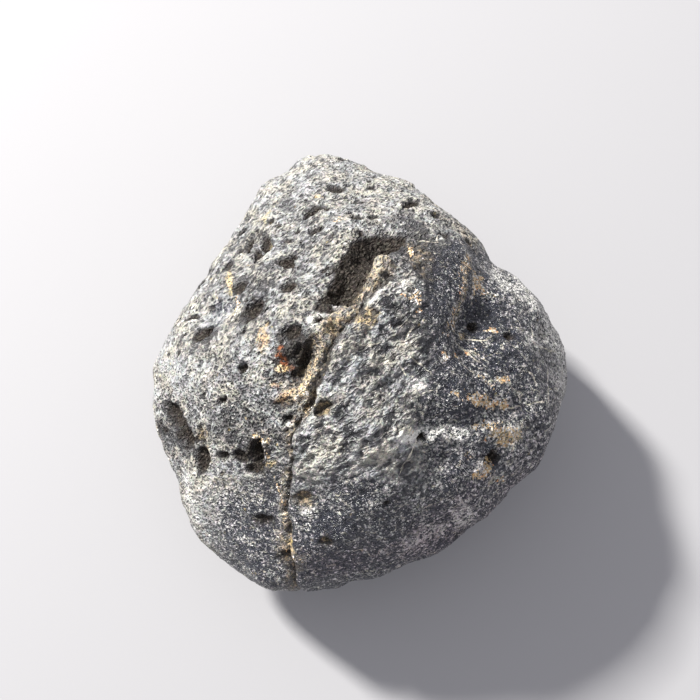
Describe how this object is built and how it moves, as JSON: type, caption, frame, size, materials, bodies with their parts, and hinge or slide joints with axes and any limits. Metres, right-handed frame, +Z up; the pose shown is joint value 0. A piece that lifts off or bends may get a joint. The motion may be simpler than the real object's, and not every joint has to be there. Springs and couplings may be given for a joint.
{
  "type": "tektite",
  "caption": "Lump of natural black glass with a pitted, frosted skin, a crack and trench over its crown and a worn flat underside to rest on.",
  "frame": {"origin": "centre of the bounding box on the table, under the lump", "axes": "+Z up from the table; +Y along the lump's longest way, towards its low narrow nose; +X towards the east shoulder"},
  "size_m": [0.0615, 0.0696, 0.0361],
  "materials": {
    "tektite_glass": "frosted dark natural glass with a finely pitted, etched skin and traces of tan clay in the pits"
  },
  "bodies": {
    "root": {"tektite": "tektite_glass"}
  },
  "joints": []
}
